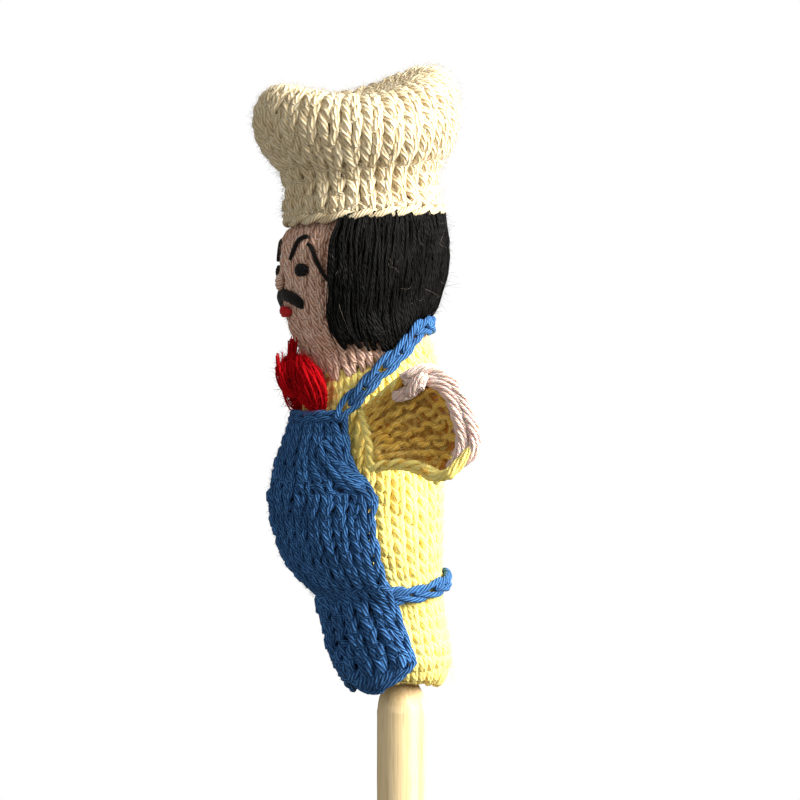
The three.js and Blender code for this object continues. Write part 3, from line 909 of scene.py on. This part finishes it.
def make_bow():
    """Two brushed loops, two frayed ends, and a knot of yarn wound round the middle."""
    rand = np.random.RandomState(81)
    make_loop("left", 1, 1.15, 230, TO_RIGHT * -0.5, rand)
    make_loop("right", -1, 0.8, 190, TO_RIGHT * 0, rand)
    make_tail("left", "bow_loop_left", rand)
    make_tail("top", "bow_knot", rand)
    middle, half = box_of("bow_knot")
    t = np.linspace(0, 1, 150)
    spin = TURN * 6 * t
    path = middle + np.stack([
        half[0] * 1.15 * (2 * t - 1), half[1] * 0.82 * np.cos(spin), half[2] * 0.85 * np.sin(spin)], -1)
    normal = unit(np.stack([0 * spin, np.cos(spin), np.sin(spin)], -1))
    yarn = Strands(7).add(path[None], normal[None], 0.42)
    place(yarn.make("bow_knot_wraps", RED), "puppet", "red_yarn", "bow_knot")


def make_loop(side, turn, wide, count, shift, rand, steps=18):
    """One brushed loop of the bow: open rings of fibre round its middle, and loose ends all over it."""
    node = "bow_loop_" + side
    middle, half = box_of(node)
    out = unit(np.array([middle[0], middle[1] - np.interp(middle[2], HEIGHTS, MIDDLE), 0.0]))
    across = np.array([-out[1], out[0], 0.0])
    up = unit(np.array([-0.1 * turn, -0.33, 1.0]))
    middle = middle + shift
    t = np.linspace(0.0, 0.8, steps)[None, :] * TURN + rand.uniform(0, TURN, (count, 1))
    spin = rand.uniform(0, TURN, (count, 1, 1))
    size = (1.05 - 0.5 * rand.uniform(0, 1, (count, 1)) ** 1.4)[..., None]
    girth = np.cos(spin) * across * half[0] * wide + np.sin(spin) * out * 1.6
    path = middle + size * (np.cos(t)[..., None] * up * half[2] * 1.04 + np.sin(t)[..., None] * girth)
    wave = np.stack([smooth_noise((count, steps), (count, 6), 0.5, 83 + k) for k in range(3)], -1)
    path = path + rand.normal(size=(count, 1, 3)) * 0.3 + wave
    yarn = Strands(5).add(path, np.broadcast_to(out, path.shape), 0.13)
    place(yarn.make(node + "_strands", RED), "puppet", "red_yarn", node)
    start = path.reshape(-1, 3)[rand.choice(count * steps, LOOP_FIBRES)]
    loose = fibres(node + "_fuzz", start, unit(start - middle), LOOP_FIBRES, RED, 1.3, 0.035, rand)
    place(loose, "puppet", "red_yarn")


def make_tail(side, root, rand, count=60, steps=14):
    """One frayed end of the bow: strands that leave the root piece and open out along the CAD tail."""
    node = "bow_tail_" + side
    corners = corners_of(node)
    order = np.argsort(corners[:, 2])
    foot, head = corners[order[:8]].mean(0), corners[order[-8:]].mean(0)
    inside = box_of(root)[0]
    s = np.linspace(0, 1, steps)[None, :, None]
    spread = rand.normal(size=(count, 1, 3)) * 0.24
    curl = rand.normal(size=(count, 1, 3)) * 0.22
    reach = s * rand.uniform(0.86, 1.1, (count, 1, 1))
    path = inside * (1 - reach) ** 2 + (1.5 * foot - 0.5 * head) * 2 * reach * (1 - reach) + head * reach ** 2
    path = path + spread * (0.7 + 0.7 * s) + curl * s * s
    across = np.broadcast_to(np.array([0.2, -0.9, 0.1]), path.shape)
    yarn = Strands(5).add(path, across, 0.12 * (1 - 0.3 * s[..., 0]))
    place(yarn.make(node + "_strands", RED), "puppet", "red_yarn", node)


# ---- Apron, strap and tie ----
WAIST = 0.325  # where the tie gathers it, as a share of its height
BIB = 0.73  # where it narrows to the bib


def make_apron():
    # The sheet under the apron's stitches is a darker navy than the yarn: painted shade in the gaps between
    # them.
    lining = sheet_mesh("apron_cloth", apron_surface, -0.75, cloth_material("blue_painted_shade_lining", "0a1f40"),
                        60, 70, thickness=0.25)
    place(lining, "puppet", "blue_knit")
    yarn = Strands()
    gather = (WAIST, 0.4, 0.03)
    knit(yarn, apron_surface, 10, 6, 0.62, out=-0.75, rib=0.95, sink=0.3, a_from=0.02, a_to=0.98, f_from=0.02,
         f_to=WAIST, loose=2.0, crease=gather, seed=90)
    knit(yarn, apron_surface, 15, 9, 0.48, out=-0.7, rib=0.6, sink=0.34, a_from=0.02, a_to=0.98, f_from=WAIST,
         f_to=BIB, loose=2.0, crease=gather, seed=91)
    knit(yarn, apron_surface, 10, 6, 0.46, out=-0.7, rib=0.4, sink=0.34, a_from=0.03, a_to=0.97, f_from=BIB,
         f_to=0.99, loose=1.6, seed=92)
    edge_apron(yarn)
    piece = yarn.make("apron_knit", BLUE)
    place(piece, "puppet", "blue_knit", "apron")
    loose = fuzz("apron_fuzz", apron_surface, 4500, BLUE, 0.45, seed=97)
    place(loose, "puppet", "blue_knit")


def edge_apron(yarn):
    """Crochet chains over the bib's shoulders, down both sides, and along the hem and the top."""
    edge = np.linspace(0, 1, 120)
    for side in (0, 1):
        a = np.abs(side - np.array([0.12, 0.07, 0.035, 0.0]))
        line, normal = apron_surface.at(a, np.array([0.9, 0.82, 0.77, 0.74]), 0.1)
        chain(yarn, line, normal, 3.4, 1.2, 0.46, seed=98 + side)
    for side in (0, 1):
        line, normal = apron_surface.at(side, edge, -0.2)
        chain(yarn, line, normal, 3.9, 1.25, 0.52, seed=93 + side)
    for end in (0, 1):
        line, normal = apron_surface.at(edge, end, -0.3)
        chain(yarn, line, normal, 3.0, 0.85, 0.46, seed=95 + end)


def make_chains():
    """The neck strap and the waist tie, each from one side edge of the apron round the back to the other."""
    for node, half_width, share in (("neck_strap", 1.45, 0.985), ("waist_tie", 1.4, 0.36)):
        line, normal = spine(node)
        corner, way = apron_surface.at(np.array([1.0, 0.0]), share, 0.2)
        line = np.concatenate([corner[:1], line, corner[1:]])
        normal = np.concatenate([way[:1], normal, way[1:]])
        yarn = Strands()
        chain(yarn, line, normal, 4.2, half_width, 0.5, seed=101)
        place(yarn.make(node + "_chain", BLUE), "puppet", "blue_knit", node)


# ---- Arms ----
ARM_SWEEP = 47.0  # degrees that the arm points back from straight sideways
ARM_END = np.array([[15.0, -5.4], [18.7, -1.1], [17.4, 4.3], [14.6, 8.9], [10.4, 10.7], [7.0, 9.5]])
SEAM_HALF = 4.7  # half the length of the sewn edge
ARM_CURL = 2.0
END_CURL = 1.6
SLEEVE = 0.82  # the hand begins at this share of the arm's length
WRIST = 0.15  # below this share of the end, the sleeve's rolled edge covers it

# For each knot of the hand: its place on the arm, its half sizes as shares of the arm, and its lean.
HAND_KNOTS = ((0.8, 0.96, 0.08, 0.075, 0.5), (1.0, 0.95, 0.08, 0.07, -0.5), (0.88, 0.78, 0.1, 0.05, 0.9))


def spline(points, t):
    """A smooth curve through points, at shares t of its steps."""
    p = np.concatenate([[2 * points[0] - points[1]], points, [2 * points[-1] - points[-2]]])
    x = np.clip(t, 0, 1) * (len(points) - 1)
    i = np.clip(x.astype(int), 0, len(points) - 2)
    u = (x - i)[:, None]
    a, b, c, d = p[i], p[i + 1], p[i + 2], p[i + 3]
    square, cube = 2 * a - 5 * b + 4 * c - d, 3 * b - a - 3 * c + d
    return 0.5 * (2 * b + (c - a) * u + square * u ** 2 + cube * u ** 3)


def arm_surface():
    """The middle of the left arm's knitting, from its sewn edge (a = 0) to its free end."""
    joint = next(j for j in frame["joints"] if j["name"] == "left_arm_swing")
    pivot = np.array(joint["pos_m"]) * 1000
    up = -unit(np.array(joint["axis"], float))
    sweep = math.radians(ARM_SWEEP)
    out = np.array([math.cos(sweep), math.sin(sweep), 0])
    front = unit(np.cross(out, up))
    v = np.linspace(0, 1, 41)
    foot = pivot - up * SEAM_HALF
    head = pivot + up * SEAM_HALF
    end = spline(ARM_END, v)
    points = []
    for u in np.linspace(0, 1, 41):
        curl = u * (ARM_CURL * np.abs(2 * v - 1) ** 2.5 + END_CURL * u ** 3)
        start = foot + (head - foot) * v[:, None]
        tip = pivot + out * (end[:, :1] + 0.48 * curl[:, None])
        tip[:, 2] = pivot[2] + end[:, 1]
        arch = 1.0 * math.sin(math.pi * min(u / 0.75, 1)) - 0.8 * math.exp(-(((u - 0.84) / 0.11) ** 2))
        line = start + (tip - start) * u + front * curl[:, None]
        points.append(line + up * (arch * (1 - v) ** 3)[:, None])
    return Surface(points, False, towards=front, smooth=1)


def mirrored(piece, name):
    mesh = piece.data.copy()
    mesh.name = name
    co = np.zeros(len(mesh.vertices) * 3, np.float32)
    mesh.vertices.foreach_get("co", co)
    co[0::3] *= -1
    mesh.vertices.foreach_set("co", co)
    mesh.flip_normals()
    mesh.update()
    return shown(name, mesh)


def both(left, body, slot, *nodes):
    """Places a left piece and its mirror image."""
    right = mirrored(left, left.name.replace("left", "right"))
    place(left, body + "_left", slot, *nodes)
    place(right, body + "_right", slot, *[n.replace("left", "right") for n in nodes])
    return left, right


def make_arms():
    """The left arm's pieces, each with its mirror image as the right arm's."""
    arm = arm_surface()
    # The sheet in the arm's cupped hollow is a dark orange: painted shade in the hollow and between its
    # stitches.
    cloth = sheet_mesh("left_arm_cloth", arm, 0.1, cloth_material("arm_painted_shade_lining", "cc7f16"), 30, 30,
                       a_to=SLEEVE, thickness=0.2)
    both(cloth, "arm", "yellow_knit")
    # The sheet under the hand is darker than the hand's yarn: painted shade in the gaps between the rolls.
    tip = sheet_mesh("left_hand_cloth", arm, 0.1, cloth_material("hand_painted_shade_lining", "c49a8a"), 10, 30,
                     a_from=SLEEVE - 0.04, a_to=0.97, f_from=0.01, f_to=0.98, thickness=0.3)
    both(tip, "arm", "skin_knit")
    purl = Strands()
    # The inside of the sleeve is knitted in the darker copy of the yellow yarn: painted shade.
    knit(purl, arm, 5, 8, 0.5, out=0.1, purl=True, sink=0.42, rib=0.0, reach=0.62, sway=0.24, a_from=0.07,
         a_to=SLEEVE + 0.05, f_from=0.03, loose=2.4, seed=111)
    both(purl.make("left_arm_knit", SHADED_YELLOW), "arm", "yellow_knit", "left_arm")
    both(sleeve_back_and_edges(arm).make("left_arm_edges", YELLOW), "arm", "yellow_knit")
    # The hand's rolls take the lighter copy of the skin yarn: painted light.
    both(hand_rolls(arm).make("left_hand_knit", PAINTED_LIGHT_SKIN), "arm", "skin_knit", "left_hand")
    both(arm_haze(arm), "arm", "yellow_knit")
    loose = fuzz("left_arm_fuzz", arm, 700, YELLOW, 0.8, a_to=SLEEVE, out=0.5, seed=114)
    both(loose, "arm", "yellow_knit")


def sleeve_back_and_edges(arm):
    """Stocking stitch on the sleeve's outside, cords along its edges and its seam, and its rolled lip."""
    yarn = Strands()
    behind = Surface(arm.p, False, towards=-arm.n.mean((0, 1)), smooth=0)
    knit(yarn, behind, 6, 7, 0.46, out=0.5, sink=0.2, a_from=0.03, a_to=SLEEVE + 0.02, seed=115)
    along = np.linspace(0, 0.72, 50)
    line, normal = arm.at(along, 0.02, 0.25 + 0.3 * along ** 2)
    twisted(yarn, line, normal, 0.44, 0.36, 6.0)
    line, normal = arm.at(np.linspace(0, SLEEVE, 60), 1.0, 0.0)
    twisted(yarn, line, normal, 0.46, 0.4, 6.0)
    line, normal = arm.at(0.03, np.linspace(0, 1, 60), 0.35)
    twisted(yarn, line, normal, 0.46, 0.42, 5.0, count=3)
    lip_a = np.concatenate([np.linspace(0.6, 0.97, 20), np.full(8, 0.97)])
    lip_f = np.concatenate([0.045 - 0.05 * np.linspace(0, 1, 20) ** 0.5, np.linspace(0.02, WRIST + 0.06, 8)])
    line, normal = arm.at(lip_a, lip_f, 0.2)
    roll(yarn, line, normal, 0.85, 12.0, 7, taper=0.6)
    return yarn


def hand_rolls(arm):
    """The hand: the knitting's end rolled up in three thick rolls, with three knots at its upper corner."""
    hand = Strands()
    share = np.linspace(0.07, 0.99, 60)
    tuck = np.clip((0.3 - share) / 0.23, 0, 1) ** 2
    line, normal = arm.at(0.92 - 0.02 * np.sin(share * 9) - 0.05 * tuck, share, 0.3 - 0.3 * tuck)
    roll(hand, line, normal, 1.25, 17.0, 8, taper=0.5)
    line, normal = arm.at(0.88, share, -0.75)
    roll(hand, line, normal, 1.0, 15.0, 7, taper=0.5)
    before, _ = arm.at(0.9, share, 0.0)
    ahead, normal = arm.at(1.0, share, -0.5)
    ahead = ahead + unit(ahead - before) * (-0.3 - 0.9 * tuck)[:, None]
    roll(hand, ahead, normal, 1.15, 15.0, 8, taper=0.6)
    t = np.linspace(0, TURN, 40)
    for a, f, wide, tall, lean in HAND_KNOTS:
        x, y = wide * np.cos(t), tall * np.sin(t)
        ring_a = a + x * math.cos(lean) - y * math.sin(lean)
        ring_f = f + (x * math.sin(lean) + y * math.cos(lean)) * 0.7
        line, normal = arm.at(ring_a, np.clip(ring_f, 0, 1.05), 1.8 + 0.5 * np.sin(t + lean * 3))
        roll(hand, line, normal, 0.85, 7.5, 7)
    return hand


def arm_haze(arm, count=1100):
    """Fine fibres that lie along the cupped inside of the sleeve."""
    rand = np.random.RandomState(116)
    a = rand.uniform(0.22, SLEEVE - 0.08, count)
    f = rand.uniform(0.06, 0.94, count)
    start, _ = arm.at(a, f, 0.7)
    ahead, _ = arm.at(a + 0.1, f, 0.7)
    way = unit(ahead - start) * 3
    # Painted shade: the haze takes the darker copy of the yellow yarn.
    return fibres("left_arm_haze", start, way, count, SHADED_YELLOW, 1.9, 0.035, rand, lean=0.5)


# ---- Filling and stick ----
def make_filling():
    """The fibre filling: the CAD solids made lumpy and a little smaller."""
    for node in ("body_stuffing", "head_stuffing", "hat_stuffing"):
        piece = shown(node + "_fibre", frame["nodes"][node].data.copy())
        piece.data.materials.clear()
        piece.data.materials.append(cloth_material(node + "_white", "efece4"))
        bpy.context.view_layer.objects.active = piece
        remesh = piece.modifiers.new("remesh", "REMESH")
        remesh.mode = "VOXEL"
        remesh.voxel_size = 0.0006
        lumps = piece.modifiers.new("lumps", "DISPLACE")
        texture = bpy.data.textures.new(node, "CLOUDS")
        texture.noise_scale = 0.0022
        lumps.texture = texture
        lumps.strength = 0.0005
        lumps.mid_level = 0.75
        for modifier in (remesh, lumps):
            with bpy.context.temp_override(object=piece):
                bpy.ops.object.modifier_apply(modifier=modifier.name)
        place(piece, "puppet", "filling", node)


def make_stick():
    """The stick, turned with its true radius at each height and a slight waviness of the wood."""
    tree = tree_of("stick")
    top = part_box("stick")[1].z * 1000
    bevel = np.array([0.02, 0.1, 0.2, 0.3, 0.4])
    shoulder = np.linspace(60.2, 65.6, 28)
    spigot = np.linspace(66, top - 0.5, 30)
    heights = np.concatenate([bevel, np.linspace(1, 60, 60), shoulder, spigot, top - bevel[::-1]])
    radii = []
    for z in heights:
        hit = tree.ray_cast(Vector((60, 0, z)), Vector((-1, 0, 0)))[0]
        radii.append(hit.x)
    sides = 96
    angle = np.arange(sides) / sides * TURN
    wobble = smooth_noise((len(heights), sides), (40, 12), 0.03, 121)
    points = []
    for z, r, w in zip(heights, radii, wobble):
        points.append(np.stack([(r + w) * np.cos(angle), (r + w) * np.sin(angle), np.full(sides, z)], -1))
    points = np.concatenate(points)
    faces = []
    for i in range(len(heights) - 1):
        for k in range(sides):
            n = (k + 1) % sides
            faces.append([i * sides + k, i * sides + n, (i + 1) * sides + n, (i + 1) * sides + k])
    faces.append(list(range(sides))[::-1])
    faces.append([(len(heights) - 1) * sides + k for k in range(sides)])
    mesh = bpy.data.meshes.new("stick_wood")
    mesh.from_pydata((points * MM).tolist(), [], faces)
    mesh.materials.append(WOOD)
    for p in mesh.polygons[:-2]:
        p.use_smooth = True
    place(shown("stick_wood", mesh), "stick", "birch", "stick")


make_body()
make_head()
make_hat()
make_hair()
make_face()
make_bow()
make_apron()
make_chains()
make_arms()
make_filling()
make_stick()


# ---- Floor and light ----
FLOOR_RADIUS = 0.45  # metres; it ends just below the main camera's picture
FLOOR_LEVEL = -0.0005
FLOOR_SIDES = 96


def make_floor():
    """A plain pale disc that catches the shadow. It throws no light back onto the figure."""
    angles = np.arange(FLOOR_SIDES) / FLOOR_SIDES * TURN
    rim = [(FLOOR_RADIUS * math.cos(w), FLOOR_RADIUS * math.sin(w), FLOOR_LEVEL) for w in angles]
    mesh = bpy.data.meshes.new("floor")
    mesh.from_pydata(rim, [], [list(range(FLOOR_SIDES))])
    floor = shown("floor", mesh)
    n = Nodes("floor")
    where = n.add("ShaderNodeTexCoord").outputs["Object"]
    noise = n.add("ShaderNodeTexNoise", Vector=where, Scale=90.0).outputs[0]
    n.set(n.shader, "Base Color", n.ramp(noise, [(0.4, (0.78, 0.78, 0.78)), (0.6, (0.8, 0.8, 0.8))]))
    n.shader.inputs["Roughness"].default_value = 0.9
    n.shader.inputs["Emission Color"].default_value = (1.0, 1.0, 1.0, 1.0)
    n.shader.inputs["Emission Strength"].default_value = 0.35
    mesh.materials.append(n.material)
    floor.visible_diffuse = False
    floor.visible_glossy = False
    floor.visible_shadow = False


def area_light(name, direction, distance, size, power, colour):
    """A square lamp that faces the figure from the given direction; distance and size are in metres."""
    data = bpy.data.lights.new(name, "AREA")
    data.size = size
    data.energy = power
    data.color = colour
    lamp = shown(name, data)
    way = Vector(unit(np.array(direction, float)))
    lamp.location = Vector((0, -0.005, 0.11)) + way * distance
    lamp.rotation_euler = way.to_track_quat("Z", "Y").to_euler()


def light_figure():
    up = np.array([0.0, 0.0, 1.0])
    area_light("key", TO_RIGHT * 1.0 + TO_CAMERA * 0.4 + up * 0.5, 0.7, 0.55, 21.0, (1.0, 0.975, 0.94))
    area_light("fill", -TO_RIGHT * 0.7 + TO_CAMERA * 1.0 + up * 0.2, 0.8, 0.5, 1.2, (0.94, 0.97, 1.0))


def make_world():
    """A white backdrop for the camera, and a dim warm one for everything that it lights."""
    world = bpy.data.worlds.new("studio")
    world.use_nodes = True
    bpy.context.scene.world = world
    tree = world.node_tree
    rays = tree.nodes.new("ShaderNodeLightPath")
    tint = tree.nodes.new("ShaderNodeMix")
    tint.data_type = "RGBA"
    tint.inputs[6].default_value = (0.30, 0.285, 0.265, 1)
    tint.inputs[7].default_value = (1, 1, 1, 1)
    tree.links.new(rays.outputs["Is Camera Ray"], tint.inputs["Factor"])
    tree.links.new(tint.outputs[2], tree.nodes["Background"].inputs["Color"])
    bpy.context.scene.view_settings.view_transform = "Standard"


make_floor()
light_figure()
make_world()
